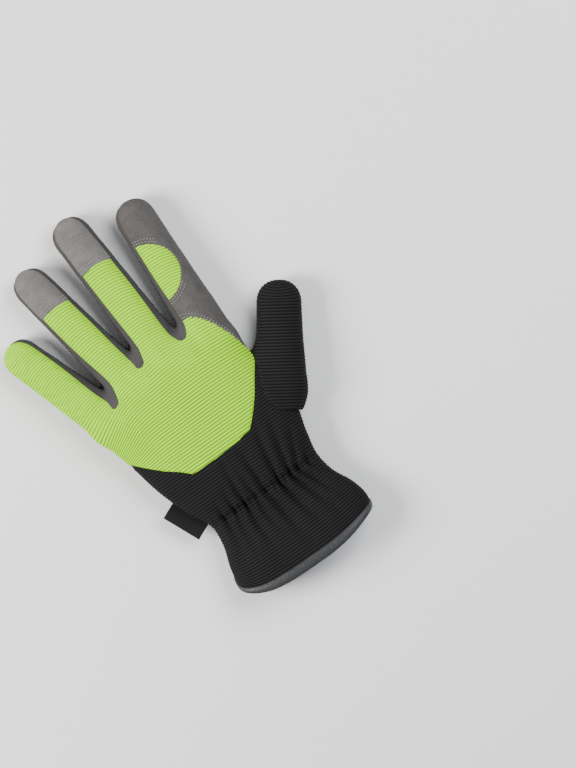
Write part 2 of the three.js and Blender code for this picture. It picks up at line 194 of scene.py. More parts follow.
TIP_WRAP = 1.33  # the rows past a finger's straight part, in tip radii
LEVEL, UNDERSIDE = 0.46, 0.55
TAPE_WIDTH, TAPE_LIFT = 5.5, 1.0


def smooth_step(low, high, value):
    t = np.clip((value - low) / (high - low), 0, 1)
    return t * t * (3 - 2 * t)


def mix(a, b, t):
    return a + (b - a) * t


def smooth_table(places, values):
    """A smooth curve through the rows of a table."""
    places, values = np.array(places, float), np.array(values, float)
    slopes = np.gradient(values, places)
    fine = np.linspace(places[0], places[-1], 400)
    k = np.clip(np.searchsorted(places, fine) - 1, 0, len(places) - 2)
    span = places[k + 1] - places[k]
    t = (fine - places[k]) / span
    curve = ((2 * t**3 - 3 * t**2 + 1) * values[k] + (t**3 - 2 * t**2 + t) * span * slopes[k]
             + (3 * t**2 - 2 * t**3) * values[k + 1] + (t**3 - t**2) * span * slopes[k + 1])
    return lambda y: np.interp(y, fine, curve)


# at, left, right, left rise, right rise, bend, thickness
HAND_ROWS = np.array([
    (-CUFF, -0.548 * HEM_BREADTH, 0.405 * HEM_BREADTH, 0.13 * CUFF, 0.22 * CUFF, 3, 0.98 * HEM_THICK),
    (-0.8 * CUFF, -0.565 * HEM_BREADTH, 0.436 * HEM_BREADTH, 0.05 * CUFF, 0.12 * CUFF, 3, HEM_THICK),
    (-0.5 * CUFF, -0.545 * HEM_BREADTH, 0.415 * HEM_BREADTH, 0.01 * CUFF, 0.03 * CUFF, 2, 0.97 * HEM_THICK),
    (-0.22 * CUFF, -0.61 * WRIST_BREADTH, 0.425 * WRIST_BREADTH, 0, 0, 2, 1.05 * WRIST_THICK),
    (0, -0.6 * WRIST_BREADTH, 0.4 * WRIST_BREADTH, 0, 0, 2, WRIST_THICK),
    (0.12 * HAND, -0.518 * HAND_BREADTH, 0.325 * HAND_BREADTH, 0, 0, 2, 0.91 * HAND_THICK),
    (0.3 * HAND, -0.59 * HAND_BREADTH, 0.375 * HAND_BREADTH, 0, 0, 2, 0.98 * HAND_THICK),
    (0.5 * HAND, -0.64 * HAND_BREADTH, 0.362 * HAND_BREADTH, 0, 0, 2, HAND_THICK),
    (0.65 * HAND, -0.68 * HAND_BREADTH, 0.322 * HAND_BREADTH, -0.02 * HAND, -0.01 * HAND, 1.8, HAND_THICK),
    (0.83 * HAND, -0.72 * HAND_BREADTH, 0.325 * HAND_BREADTH, -0.09 * HAND, -0.06 * HAND, 1.6,
     0.95 * HAND_THICK),
    (HAND, -0.72 * HAND_BREADTH, 0.31 * HAND_BREADTH, -0.19 * HAND, -0.11 * HAND, 1.5, 0.9 * HAND_THICK),
])
hand_left, hand_right, left_rise, right_rise, row_bend, hand_thick = (
    smooth_table(HAND_ROWS[:, 0], HAND_ROWS[:, k]) for k in range(1, 7))
KNUCKLE_START, KNUCKLE_END = 78.0, 111.5


def rest_height(y):
    """The cloth lies a little above the surface near the folded tape of the hem."""
    return TAPE_LIFT * (1 - smooth_step(HEM_LINE + TAPE_WIDTH, HEM_LINE + 3 * TAPE_WIDTH, y))


def hand_field(x, y, z):
    """Below 0 inside the hand and cuff, and about the distance in millimetres outside."""
    row = y
    for _ in range(2):
        left, right = hand_left(row), hand_right(row)
        s = np.clip((2 * x - left - right) / (right - left), -3, 3)
        rise = np.where(s < 0, left_rise(row), right_rise(row))
        row = y - rise * np.minimum(np.abs(s), 1.1) ** row_bend(row)
    thick = hand_thick(row)
    t = z - LEVEL * thick
    t = t / (np.where(t > 0, 1 - LEVEL, UNDERSIDE) * thick)
    e = np.clip((row - KNUCKLE_START) / (KNUCKLE_END - KNUCKLE_START), 0, 3)
    total = np.abs(s) ** HAND_ROUND + np.abs(t) ** HAND_ROUND + e**HAND_ROUND
    return (total ** (1 / HAND_ROUND) - 1) * HAND_SCALE


class Finger:
    """One finger: its root and lean, its length and sections, and how its rows of cloth are numbered."""

    def __init__(self, x, y, lean, length, breadth, thick, breadths, thicks):
        turn = math.radians(lean)
        self.root = np.array([x * HAND_BREADTH, y * HAND])
        self.along = np.array([math.sin(turn), math.cos(turn)])
        self.across = np.array([math.cos(turn), -math.sin(turn)])
        self.length, self.tip = length, breadth / 2
        self.straight = length - self.tip
        places = np.linspace(0, 1, len(breadths)) * length
        self.half = smooth_table(places, np.array(breadths) * breadth / 2)
        self.thick = smooth_table(places, np.array(thicks) * thick)
        self.row_shift = 0.0

    def measure(self, point):
        """The place of a plan point along the finger."""
        return float(np.dot(np.array(point) - self.root, self.along))

    def field(self, x, y, z):
        a = (x - self.root[0]) * self.across[0] + (y - self.root[1]) * self.across[1]
        b = (x - self.root[0]) * self.along[0] + (y - self.root[1]) * self.along[1]
        thick = self.thick(b)
        t = z - LEVEL * thick
        t = t / (np.where(t > 0, 1 - LEVEL, UNDERSIDE) * thick)
        past_tip, before_root = (b - self.straight) / self.tip, (ROOT_START - b) / ROOT_LENGTH
        e = np.maximum(np.clip(past_tip, 0, 3), np.clip(before_root, 0, 3))
        total = np.abs(a / self.half(b)) ** FINGER_ROUND + np.abs(t) ** FINGER_ROUND + e**FINGER_ROUND
        return (total ** (1 / FINGER_ROUND) - 1) * FINGER_SCALE

    def follow(self, b):
        """For rays from the axis: where they start in plan and in height, and their lean to the tip."""
        straight = np.minimum(b, self.straight)
        lean = np.clip((b - self.straight) / (TIP_WRAP * self.tip), 0, 1) * math.pi / 2
        return self.root + straight[:, None] * self.along, LEVEL * self.thick(straight), lean


FINGER_TAPER = (1.1, 1.07, 1.02, 0.985, 0.965, 0.94), (1.1, 1.1, 1.05, 1.0, 0.94, 0.86)
THUMB_TAPER = (0.5, 1.1, 1.08, 1.0, 0.97, 0.94), (0.9, 1.12, 1.1, 1.02, 0.95, 0.86)
FINGERS = [Finger(x, y, lean, length * MIDDLE_LENGTH, breadth * FINGER_BREADTH, FINGER_THICK, *FINGER_TAPER)
           for x, y, lean, length, breadth in (
               (-0.58, 0.743, -19.3, 0.695, 0.93), (-0.349, 0.796, -10.4, 0.903, 0.945),
               (-0.093, 0.791, -3.1, 1, 1), (0.182, 0.783, 2.4, 0.893, 0.975))]
little, ring, middle, index = FINGERS
thumb = Finger(0.234, 0.235, 33.5, THUMB_LENGTH, THUMB_BREADTH, THUMB_THICK, *THUMB_TAPER)
WEBS = np.array([(-0.508, 0.909), (-0.2514, 1.0), (0.046, 0.968)]) * (HAND_BREADTH, HAND)
FORK_DEPTHS = (0.115 * HAND, 0.105 * HAND, 0.08 * HAND)

# Rows of cloth are numbered so that neighbouring fingers share the number at their web
middle.row_shift = -middle.root[1]
web_rows = np.zeros(3)
web_rows[1] = middle.measure(WEBS[1]) - middle.row_shift
web_rows[2] = middle.measure(WEBS[2]) - middle.row_shift
ring.row_shift = ring.measure(WEBS[1]) - web_rows[1]
web_rows[0] = ring.measure(WEBS[0]) - ring.row_shift
little.row_shift = little.measure(WEBS[0]) - web_rows[0]
index.row_shift = index.measure(WEBS[2]) - web_rows[2]


def smooth_less(a, b, width):
    """The lesser of two fields, rounded where they meet."""
    h = np.clip(0.5 + 0.5 * (b - a) / width, 0, 1)
    return mix(b, a, h) - width * h * (1 - h)


SADDLE_HALF, SADDLE_BACK, SADDLE_REACH, SADDLE_LEVEL, SADDLE_HEIGHT = 7.5, 12.5, 11.5, 10, 9.0
BLEND_FINGERS, BLEND_WEBS, BLEND_HAND, BLEND_THUMB = 0.6, 3.0, 4.0, 4.0  # widths of the rounded joins


def web_field(k, x, y, z):
    """The low saddle between two knuckles, on which a fourchette's round end lies."""
    ahead = FINGERS[k].along + FINGERS[k + 1].along
    ahead = ahead / np.linalg.norm(ahead)
    a = (x - WEBS[k][0]) * ahead[1] - (y - WEBS[k][1]) * ahead[0]
    b = (x - WEBS[k][0]) * ahead[0] + (y - WEBS[k][1]) * ahead[1]
    total = sum(np.abs(part) ** WEB_ROUND for part in (
        a / SADDLE_HALF, (b + SADDLE_BACK) / SADDLE_REACH, (z - SADDLE_LEVEL) / SADDLE_HEIGHT))
    return (total ** (1 / WEB_ROUND) - 1) * SADDLE_HALF


def hand_and_fingers(p):
    """The form without its thumb."""
    x, y, z = p[..., 0], p[..., 1], p[..., 2]
    fingers = FINGERS[0].field(x, y, z)
    for finger in FINGERS[1:]:
        fingers = smooth_less(fingers, finger.field(x, y, z), BLEND_FINGERS)
    for k in range(3):
        fingers = smooth_less(fingers, web_field(k, x, y, z), BLEND_WEBS)
    return np.maximum(smooth_less(hand_field(x, y, z), fingers, BLEND_HAND), rest_height(y) - z)


def whole_form(p):
    """The form with its thumb."""
    thumb_part = thumb.field(p[..., 0], p[..., 1], p[..., 2])
    return np.maximum(smooth_less(hand_and_fingers(p), thumb_part, BLEND_THUMB), -p[..., 2])


CAST_REACH, CAST_STEP, HALVINGS = 40.0, 1.6, 9


def cast(origins, directions, form):
    """Where rays from inside the form meet its surface."""
    shape = origins.shape
    o, d = origins.reshape(-1, 3), directions.reshape(-1, 3)
    d = d / np.linalg.norm(d, axis=1, keepdims=True)
    low, high = np.zeros(len(o)), np.full(len(o), CAST_REACH)
    open_rays = np.arange(len(o))
    for t in np.arange(CAST_STEP, CAST_REACH, CAST_STEP):
        outside = form(o[open_rays] + d[open_rays] * t) > 0
        high[open_rays[outside]] = t
        open_rays = open_rays[~outside]
        low[open_rays] = t
        if not len(open_rays):
            break
    for _ in range(HALVINGS):
        half = (low + high) / 2
        outside = form(o + d * half[:, None]) > 0
        high = np.where(outside, half, high)
        low = np.where(outside, low, half)
    return (o + d * ((low + high) / 2)[:, None]).reshape(shape)


def normals(points, form):
    """The directions straight out of the surface."""
    step = 0.35
    parts = [form(points + step * np.eye(3)[k]) - form(points - step * np.eye(3)[k]) for k in range(3)]
    n = np.stack(parts, -1)
    return n / np.maximum(np.linalg.norm(n, axis=-1, keepdims=True), 1e-9)


DIVISIONS = (0.25, 0.46, 0.7)  # where the lines between the fingers start across the hand


def divide(k, v):
    """The plan line between two fingers' cloth below their web, by row number."""
    left, right = hand_left(v), hand_right(v)
    low = mix(left, right, DIVISIONS[k])
    t = smooth_step(0, web_rows[k], v)
    bend = smooth_step(40, web_rows[k], v) * (WEBS[k][1] - web_rows[k])
    return np.stack([mix(low, WEBS[k][0], t), v + bend], -1)


SIDE_INSET = 11.0


def hand_side(side, v):
    """The plan line along the hand's outline, set in so that the cloth can turn over the side."""
    x = hand_left(v) + SIDE_INSET if side < 0 else hand_right(v) - SIDE_INSET
    slope = (-14.0 if side < 0 else -1.5) * smooth_step(40, 110, v)
    return np.stack([x, v + slope], -1)


HEM_CORNER = 13  # how much the hem's corner on the little finger's side lifts


def cuff_rise(v, x):
    """How much higher the cuff's rows are at the sides than in the middle."""
    left, right = hand_left(v), hand_right(v)
    s = (2 * x - left - right) / (right - left)
    rise = np.where(s < 0, left_rise(v), right_rise(v)) * np.minimum(np.abs(s), 1) ** row_bend(v)
    corner = HEM_CORNER * np.clip(-s, 0, 1) ** 9 * smooth_step(16, 52, -v)
    return np.where(v < 0, rise + corner, 0)


def row_bow(i, rows, c):
    """What makes the rows of cloth run in one smooth curve from strip to strip."""
    lines = [hand_side(-1, rows), divide(0, rows), divide(1, rows), divide(2, rows), hand_side(1, rows)]
    slopes = [(b[:, 1] - a[:, 1]) / (b[:, 0] - a[:, 0]) for a, b in zip(lines, lines[1:])]
    joints = [slopes[0]] + [(a + b) / 2 for a, b in zip(slopes, slopes[1:])] + [slopes[3]]
    span = (lines[i + 1][:, 0] - lines[i][:, 0])[:, None]
    before, after = ((joints[i + end] - slopes[i])[:, None] for end in (0, 1))
    return span * ((c**3 - 2 * c**2 + c) * before + (c**3 - c**2) * after)


def side_turn(level, back):
    """How far the cloth turns from straight up or down to reach the side seam."""
    drop = np.degrees(np.arctan2(level - SIDE_SEAM, SIDE_INSET))
    return 90 + drop if back else 90 - drop


FORK_END = 3.0  # radius of a fourchette's round end on the back
FORK_TURN = {True: 54.0, False: 76.0}  # from straight up on the back, from straight down on the palm
FORK_WIDER = (14.0, 6.0, 9.0)  # how much less it turns beside each crotch
FORK_UNDER = 4  # how far below the web it starts on the palm
SIDE_TO_FINGER = {-1: (78, 112), 1: (60, 108)}  # rows where the hand's side becomes the finger's
SIDE_END = 112
ROWS_TURN = (88, 108)  # where the rows turn from the hand's line to the finger's


def strip_rays(i, v, c, back=True):
    """Origins and directions for the cloth of one finger. v: row numbers; c: 0 to 1 across."""
    finger = FINGERS[i]
    v, c = np.broadcast_arrays(np.asarray(v, float)[:, None], np.asarray(c, float)[None, :])
    rows = v[:, 0]
    on_axis, finger_level, lean = finger.follow(rows + finger.row_shift)
    lean = lean[:, None]
    hand_level = LEVEL * hand_thick(np.minimum(rows, HAND))
    ends = []
    for side in (-1, 1):
        k = i - 1 if side < 0 else i
        if 0 <= k <= 2:
            start = web_rows[k] - (FORK_DEPTHS[k] if back else FORK_UNDER)
            w = smooth_step(start, web_rows[k] + 3, rows)
            opened = np.clip((rows - start) / FORK_END, 0, 1) if back else np.zeros(len(rows))
            round_end = np.sqrt(opened * (2 - opened))
            plan = divide(k, rows) - side * FORK_END * (round_end * (1 - w * w))[:, None] * finger.across
            wider = FORK_WIDER[k] * np.exp(-(((rows - web_rows[k]) / 24) ** 2)) if back else 0 * rows
            turn, final = np.zeros(len(rows)), FORK_TURN[back] - wider
        else:
            w = smooth_step(*SIDE_TO_FINGER[side], rows)
            plan, turn = hand_side(side, np.minimum(rows, SIDE_END)), side_turn(hand_level, back)
            final = side_turn(finger_level, back)
        ends.append((mix(plan, on_axis, w[:, None]), mix(turn, final, w) * side, w))
    w = mix(ends[0][2][:, None], ends[1][2][:, None], c)
    level = mix(hand_level[:, None], finger_level[:, None], w)
    plan = mix(ends[0][0][:, None, :], ends[1][0][:, None, :], c[..., None])
    turn = np.radians(mix(ends[0][1][:, None], ends[1][1][:, None], c))
    plan[..., 1] += row_bow(i, rows, c) * (1 - w) + cuff_rise(v, plan[..., 0] + SIDE_INSET * np.sin(turn))
    line = ends[1][0] - ends[0][0]
    row_line = line / np.maximum(np.linalg.norm(line, axis=1, keepdims=True), 1e-6)
    across = mix(row_line, finger.across, smooth_step(*ROWS_TURN, rows)[:, None])
    across /= np.linalg.norm(across, axis=1, keepdims=True)
    up = np.cos(turn) * (1 if back else -1)
    directions = np.concatenate([
        np.cos(lean)[..., None] * np.sin(turn)[..., None] * across[:, None, :]
        + np.sin(lean)[..., None] * finger.along, (np.cos(lean) * up)[..., None]], -1)
    return np.concatenate([plan, level[..., None]], -1), directions


def last_row(finger):
    """The row number at the very tip."""
    return finger.straight + TIP_WRAP * finger.tip - finger.row_shift - 0.05


class Cloth:
    """A grid of points on the form, with row numbers, that can be trimmed, raised and made a mesh."""

    def __init__(self, rays, v, form=hand_and_fingers, flipped=False,
                 rims=("start", "end", "left", "right")):
        origins, directions = rays
        self.form = form
        self.points = cast(origins, directions, form)
        self.rows = np.broadcast_to(np.asarray(v, float)[:, None], self.points.shape[:2]).copy()
        self.mark = np.zeros(self.points.shape[:2])
        self.flipped = flipped
        self.rims = rims

    def keep(self, inside, side="start", last=False):
        """Trims the lines of points that begin at a side to where inside(points), above 0 on the kept
        part, changes sign: for the first time, or for the last."""
        points, rows = self.points, self.rows
        if side in ("left", "right"):
            points, rows = points.transpose(1, 0, 2), rows.T
        if side in ("end", "right"):
            points, rows = points[::-1], rows[::-1]
        g = inside(points)
        for j in range(g.shape[1]):
            kept, dropped = np.nonzero(g[:, j] > 0)[0], np.nonzero(g[:, j] <= 0)[0]
            if not len(dropped):
                continue
            i = dropped[-1] + 1 if last else kept[0] if len(kept) else len(g)
            if i == len(g):
                nearest = np.argmax(g[:, j])
                points[:, j], rows[:, j] = points[nearest, j].copy(), rows[nearest, j]
            elif i > 0:
                t = g[i, j] / (g[i, j] - g[i - 1, j])
                points[:i, j] = mix(points[i, j], points[i - 1, j], t)
                rows[:i, j] = mix(rows[i, j], rows[i - 1, j], t)
        return self

    def measure(self):
        """Normals, and each point's distance from the piece's edges."""
        self.normals = normals(self.points, self.form)
        steps = np.linalg.norm(np.diff(self.points, axis=0), axis=2)
        way = np.concatenate([np.zeros((1, steps.shape[1])), np.cumsum(steps, 0)])
        self.from_start, self.from_end = way, way[-1] - way
        steps = np.linalg.norm(np.diff(self.points, axis=1), axis=2)
        way = np.concatenate([np.zeros((steps.shape[0], 1)), np.cumsum(steps, 1)], 1)
        self.from_left, self.from_right = way, way[:, -1:] - way
        return self

    def edge_distance(self, edges):
        return np.min([getattr(self, "from_" + edge) for edge in edges], axis=0)

    def raise_by(self, height):
        self.points = self.points + self.normals * np.asarray(height)[..., None]
        return self

    def edge(self, number):
        """The points and normals of one row, for a line of stitches."""
        return self.points[number], self.normals[number]


def seam_roll(cloth, edges, depth=0.55, width=0.9):
    """How the cloth dips where it is turned in along its seams."""
    return -depth * np.exp(-((cloth.edge_distance(edges) / width) ** 2))


def build(name, cloths, finish, thickness=0.9, threads=(), thread_finish=None):
    """Joins grids of cloth, with closed rims, and threads into one piece."""
    vertices, faces, marks, which = [], [], [], []
    count = 0
    for cloth in cloths:
        start, end, left, right = (int(side in cloth.rims) for side in ("start", "end", "left", "right"))
        margins = ((start, end), (left, right))
        p = np.pad(cloth.points, (*margins, (0, 0)), "edge")
        n = np.pad(cloth.normals, (*margins, (0, 0)), "edge")
        rim = np.pad(np.zeros(cloth.mark.shape, bool), margins, constant_values=True)
        p = np.where(rim[..., None], p - n * thickness, p)
        ids = count + np.arange(p.shape[0] * p.shape[1]).reshape(p.shape[:2])
        quads = np.stack([ids[:-1, :-1], ids[:-1, 1:], ids[1:, 1:], ids[1:, :-1]], -1).reshape(-1, 4)
        vertices.append(p.reshape(-1, 3))
        marks.append(np.pad(cloth.mark, margins, "edge").reshape(-1))
        faces += (quads[:, ::-1] if cloth.flipped else quads).tolist()
        which += [0] * len(quads)
        count += ids.size
    for thread_points, thread_faces in threads:
        vertices.append(thread_points)
        marks.append(np.zeros(len(thread_points)))
        faces += [[corner + count for corner in face] for face in thread_faces]
        which += [1] * len(thread_faces)
        count += len(thread_points)
    points = np.concatenate(vertices)
    points[:, 2] = np.maximum(points[:, 2], 0.02)
    mesh = bpy.data.meshes.new(name)
    mesh.from_pydata(((points + SHIFT) * MM).tolist(), [], faces)
    mesh.polygons.foreach_set("material_index", which)
    attribute = mesh.attributes.new("rib", "FLOAT", "POINT")
    attribute.data.foreach_set("value", np.concatenate(marks).astype(np.float32))
    cleaner = bmesh.new()
    cleaner.from_mesh(mesh)
    bmesh.ops.dissolve_degenerate(cleaner, edges=cleaner.edges[:], dist=0.00001)
    bmesh.ops.remove_doubles(cleaner, verts=cleaner.verts[:], dist=0.00001)
    cleaner.to_mesh(mesh)
    cleaner.free()
    mesh.shade_smooth()
    mesh.materials.append(finish)
    if thread_finish:
        mesh.materials.append(thread_finish)
    made = bpy.data.objects.new(name, mesh)
    bpy.context.collection.objects.link(made)
    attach(made, "root")
    return made


RIB_PITCH, RIB_HEIGHT, SAMPLES_PER_RIB = 1.9, 0.7, 6
ROW_STEP = RIB_PITCH / SAMPLES_PER_RIB
FLAT_AT_SEAMS, FLAT_AT_FORKS, FORK_DIP = 1.2, 1.0, 0.3  # how far the ribs are flat, and how low there


def row_range(low, high):
    """Row numbers that fall at the same places on every rib."""
    return np.arange(math.floor(low / ROW_STEP), math.ceil(high / ROW_STEP) + 1) * ROW_STEP


FINER_RIBS = (0.15, 0.03, 0.0, 0.05)  # how much closer they lie on a finger than on the hand


def rib_place(cloth, i):
    """Where each point lies in the run of ribs. On a finger the ribs arch and drop on its thumb side."""
    finger = FINGERS[i]
    a = np.clip((cloth.points[..., :2] - finger.root) @ finger.across / finger.tip, -1, 1)
    past_web = cloth.rows - web_rows[min(i, 2)]
    arch = finger.tip * (0.12 * a + 0.19 * a**2 + 0.06 * a**3) * smooth_step(-26, 12, past_web)
    return cloth.rows + arch + FINER_RIBS[i] * np.maximum(past_web, 0)


def ribbed(cloth, edges=(), height=RIB_HEIGHT, lift=0.0, finger_number=None):
    """Measures a piece of knit and raises its ribs, which flatten out in the seams."""
    cloth.measure()
    place = cloth.rows if finger_number is None else rib_place(cloth, finger_number)
    cloth.mark = np.abs(np.cos(np.pi * place / RIB_PITCH)) ** 0.7
    ribs = (cloth.mark - 0.5) * height
    if edges:
        flat = np.exp(-((cloth.edge_distance(edges) / FLAT_AT_SEAMS) ** 2))
        ribs = ribs * (1 - flat) + seam_roll(cloth, edges)
    for side, k in () if finger_number is None else (("left", finger_number - 1), ("right", finger_number)):
        if 0 <= k <= 2:
            past_end = smooth_step(-1, 2, cloth.rows - web_rows[k] + FORK_DEPTHS[k])
            near = past_end * np.exp(-((cloth.edge_distance([side]) / FLAT_AT_FORKS) ** 2))
            ribs = ribs * (1 - near) - FORK_DIP * near
    return cloth.raise_by(ribs + lift)


CHEVRON = np.array([
    (-1.0, 0.72), (-0.63, 0.5), (-0.56, 0.437), (-0.49, 0.378), (-0.42, 0.331), (-0.365, 0.285),
    (-0.325, 0.278), (-0.23, 0.281), (-0.1, 0.289), (0.0, 0.295), (0.06, 0.306), (0.12, 0.357),
    (0.197, 0.435), (0.272, 0.53), (0.32, 0.585), (0.5, 0.75)]) * (HAND_BREADTH, HAND)


def above_chevron(points):
    """The wrist seam: above 0 on the fingers' side."""
    return points[..., 1] - np.interp(points[..., 0], CHEVRON[:, 0], CHEVRON[:, 1])


def knit(name, ridge, valley_shade, painted_glow=0.0):
    """Ribbed stretch knit: bright ridges, valleys darkened with painted shade, fine loops along each rib, and
    an optional painted glow.
    """
    made, tree, shader = material(name, 0.85, Specular_IOR_Level=0.12, Emission_Strength=painted_glow)
    rib = node(tree, "ShaderNodeAttribute", {"attribute_name": "rib"}, output=2)
    loops = noise(tree, 0.45, 1.0, (1.0, 0.55, 1.0))
    patches = noise(tree, 14.0, 3.0)
    # The colour runs from the valley colour at the bottom of each rib to the ridge colour on top: painted
    # shade in the valleys.
    share = node(tree, "ShaderNodeMapRange", None, {0: rib, 1: 0.15, 2: 0.9})
    tone = blend_colours(tree, share, valley_shade, ridge)
    tone = blend_colours(tree, 0.35 * loops, tone, (0.0, 0.0, 0.0))
    tone = blend_colours(tree, 0.22 * patches, tone, valley_shade)
    # A faint emission in the knit's own colour: painted glow, which brightens the knit beyond what the lamps
    # give it.
    if painted_glow:
        tree.links.new(tone.socket, shader.inputs["Emission Color"])
    finish_with(tree, shader, tone, loops, 0.6, 0.15)
    return made


# Fluorescent green knit: painted shade in its rib valleys and a faint painted glow.
green_knit = knit("green_knit", (0.48, 1.0, 0.0), (0.08, 0.25, 0.0), 0.15)

STRIP_COLUMNS = 30
CAP_LENGTHS = {1: 31.4, 2: 36.0}


def above_cap_seam(i, distance=0.0):
    """The seam of a fingertip cap, bowed a little towards the tip: above 0 on the cap."""
    finger = FINGERS[i]

    def inside(points):
        plan = points[..., :2] - finger.root
        a = plan @ finger.across / finger.tip
        seam = finger.length - CAP_LENGTHS[i] + 1.7 * (1 - a * a) - 1.2 * a
        return plan @ finger.along - seam - distance

    return inside


PATCH_SEAM = np.array([(-1.3, 0.215), (-0.6, 0.212), (-0.2, 0.19), (0.1, 0.155), (0.42, 0.1), (0.8, 0.0),
                       (1.05, -0.1), (1.5, -0.25)])


def above_patch_seam(points, distance=0.0):
    """The lower edge of the index finger's patch: above 0 on the patch."""
    plan = points[..., :2] - index.root
    seam = np.interp(plan @ index.across / index.tip, PATCH_SEAM[:, 0], PATCH_SEAM[:, 1])
    return plan @ index.along - seam * index.length - distance


def strip(i, v, columns=STRIP_COLUMNS, back=True, form=hand_and_fingers, rims=("start", "end")):
    """The cloth of one finger and of the hand below it."""
    c = np.linspace(0, 1, columns) if isinstance(columns, int) else columns
    return Cloth(strip_rays(i, v, c, back), v, form, not back, rims)


GREEN_START, GREEN_ON_INDEX = 28.0, 118.0  # rows
LAP = 4  # how far the knit runs on under a cap
green = []
for i, finger in enumerate(FINGERS):
    top = last_row(finger) if finger is little else GREEN_ON_INDEX
    if i in CAP_LENGTHS:
        top = finger.length - CAP_LENGTHS[i] - finger.row_shift + LAP
    cloth = strip(i, np.minimum(row_range(GREEN_START, top), last_row(finger))).keep(above_chevron)
    if i in CAP_LENGTHS:
        cloth.keep(lambda p, seam=above_cap_seam(i, 1.5): -seam(p), "end")
    if i == 3:
        cloth.keep(lambda p: -above_patch_seam(p, 1.2), "end")
    green.append(ribbed(cloth, ("start", "left") if finger is little else ("start",), finger_number=i))
back_panel = build("back_panel_knit", green, green_knit)
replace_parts(back_panel, "back_panel")

# The half-moon: a piece of the same knit let into the patch over the index finger's big knuckle.
MOON_MIDDLE, MOON_LENGTH, MOON_DEPTH, MOON_START = 0.55, 37.0, 18.0, -0.82
MOON_LAP = 1.0  # how far the knit runs on under the patch


def outside_moon(points, distance=0.0):
    """About the distance in millimetres outside the half-moon's edge."""
    plan = points[..., :2] - index.root
    a = (plan @ index.across - MOON_START * index.tip) / (MOON_DEPTH + distance)
    b = (plan @ index.along - MOON_MIDDLE * index.length) / (MOON_LENGTH / 2 + distance)
    return (np.sqrt(a * a + b * b) - 1) * MOON_DEPTH


moon_row = MOON_MIDDLE * index.length - index.row_shift
moon_columns = np.unique(np.concatenate([np.linspace(0, 1, 31), np.linspace(0.5, 0.87, 52)]))
inset = strip(3, row_range(moon_row - 20, moon_row + 20), moon_columns[moon_columns < 0.75])
for side in ("start", "end"):
    inset.keep(lambda p: -outside_moon(p, MOON_LAP), side)
inset = ribbed(inset, ("start", "end"), lift=-0.1, finger_number=3)
inset_piece = build("index_knuckle_inset_knit", [inset], green_knit)
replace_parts(inset_piece, "index_knuckle_inset")

# The suede pieces of the back: a patch over the index finger's back, tip and outer side, and caps over
# the tips of the middle and ring fingers. They lap over the knit, under two rows of pale stitches.
SUEDE_STEP = 1.0


def suede(name, lit, dark):
    """Synthetic suede: a short nap, brushed into soft patches, with a fine grain."""
    made, tree, shader = material(name, 0.95, Specular_IOR_Level=0.15)
    brushed = noise(tree, 7.0, 4.0)
    grain = noise(tree, 0.7, 3.0)
    share = node(tree, "ShaderNodeMapRange", None, {0: brushed * 0.4 + grain * 0.6, 1: 0.33, 2: 0.67})
    finish_with(tree, shader, blend_colours(tree, share, dark, lit), grain, 0.5, 0.18)
    return made


def thread(name, colour):
    """Sewing thread, with its twist as a fine relief."""
    made, tree, shader = material(name, 0.6)
    twist = noise(tree, 0.25, 1.0)
    finish_with(tree, shader, blend_colours(tree, twist, tuple(0.6 * part for part in colour), colour), twist)
    return made


grey_suede = suede("grey_suede", (0.175, 0.166, 0.157), (0.1, 0.094, 0.088))
shaded_patch_suede = suede("shaded_patch_suede", (0.1, 0.094, 0.089), (0.056, 0.053, 0.049))  # a darker copy of the grey suede: painted shade over the whole index patch
pale_thread = thread("pale_thread", (0.3, 0.29, 0.275))


THREAD_SIDES = 6
THREAD_RINGS = ((-0.5, 0.3, 0.5), (-0.36, 0.85, 0.1), (0, 1, 0), (0.36, 0.85, 0.1), (0.5, 0.3, 0.5))


def tube_faces(rings, sides):
    """The faces of a closed tube whose points are rings of so many sides."""
    between = [[sides * i + j, sides * i + (j + 1) % sides, sides * i + sides + (j + 1) % sides,
                sides * i + sides + j] for i in range(rings - 1) for j in range(sides)]
    return between + [list(range(sides - 1, -1, -1)), list(range(sides * (rings - 1), sides * rings))]


def stitches(line, pitch=2.0, length=1.15, radius=0.24, lift=0.12):
    """Short rounded threads along a line of points and normals: a list for build."""
    points, normal = line
    far = np.concatenate([[True], np.linalg.norm(np.diff(points, axis=0), axis=1) > 1e-4])
    points, normal = points[far], normal[far]
    way = np.concatenate([[0], np.cumsum(np.linalg.norm(np.diff(points, axis=0), axis=1))])
    count = max(1, round(way[-1] / pitch))
    centres = (np.arange(count) + 0.5) * way[-1] / count

    def at(table, place):
        return np.stack([np.interp(place, way, table[:, k]) for k in range(3)], -1)

    ahead = at(points, centres + 0.4) - at(points, centres - 0.4)
    ahead /= np.maximum(np.linalg.norm(ahead, axis=1, keepdims=True), 1e-9)
    out = at(normal, centres)
    out /= np.linalg.norm(out, axis=1, keepdims=True)
    side = np.cross(ahead, out)
    angle = np.linspace(0, 2 * math.pi, THREAD_SIDES, endpoint=False)
    rings = []
    for share, size, sink in THREAD_RINGS:
        middle = at(points, centres) + ahead * (share * length) + out * (lift - sink * radius)
        rings.append(middle[:, None] + radius * size * (
            np.cos(angle)[None, :, None] * side[:, None] + 0.8 * np.sin(angle)[None, :, None] * out[:, None]))
    solid = np.stack(rings, 1).reshape(count, len(THREAD_RINGS) * THREAD_SIDES, 3)
    faces = tube_faces(len(THREAD_RINGS), THREAD_SIDES)
    return [(one, faces) for one in solid]


def smooth_cloth(cloth, edges=(), lift=0.0, depth=0.55, width=0.9):
    """Measures a piece of suede and rolls its edges down."""
    cloth.measure()
    x, y = cloth.points[..., 0], cloth.points[..., 1]
    slack = 0.12 * np.sin(x / 3.1 + 1.7 * np.sin(y / 7.3)) * np.sin(y / 4.7 + 1.3 * np.sin(x / 5.9))
    return cloth.raise_by(lift + slack + (seam_roll(cloth, edges, depth, width) if edges else 0))


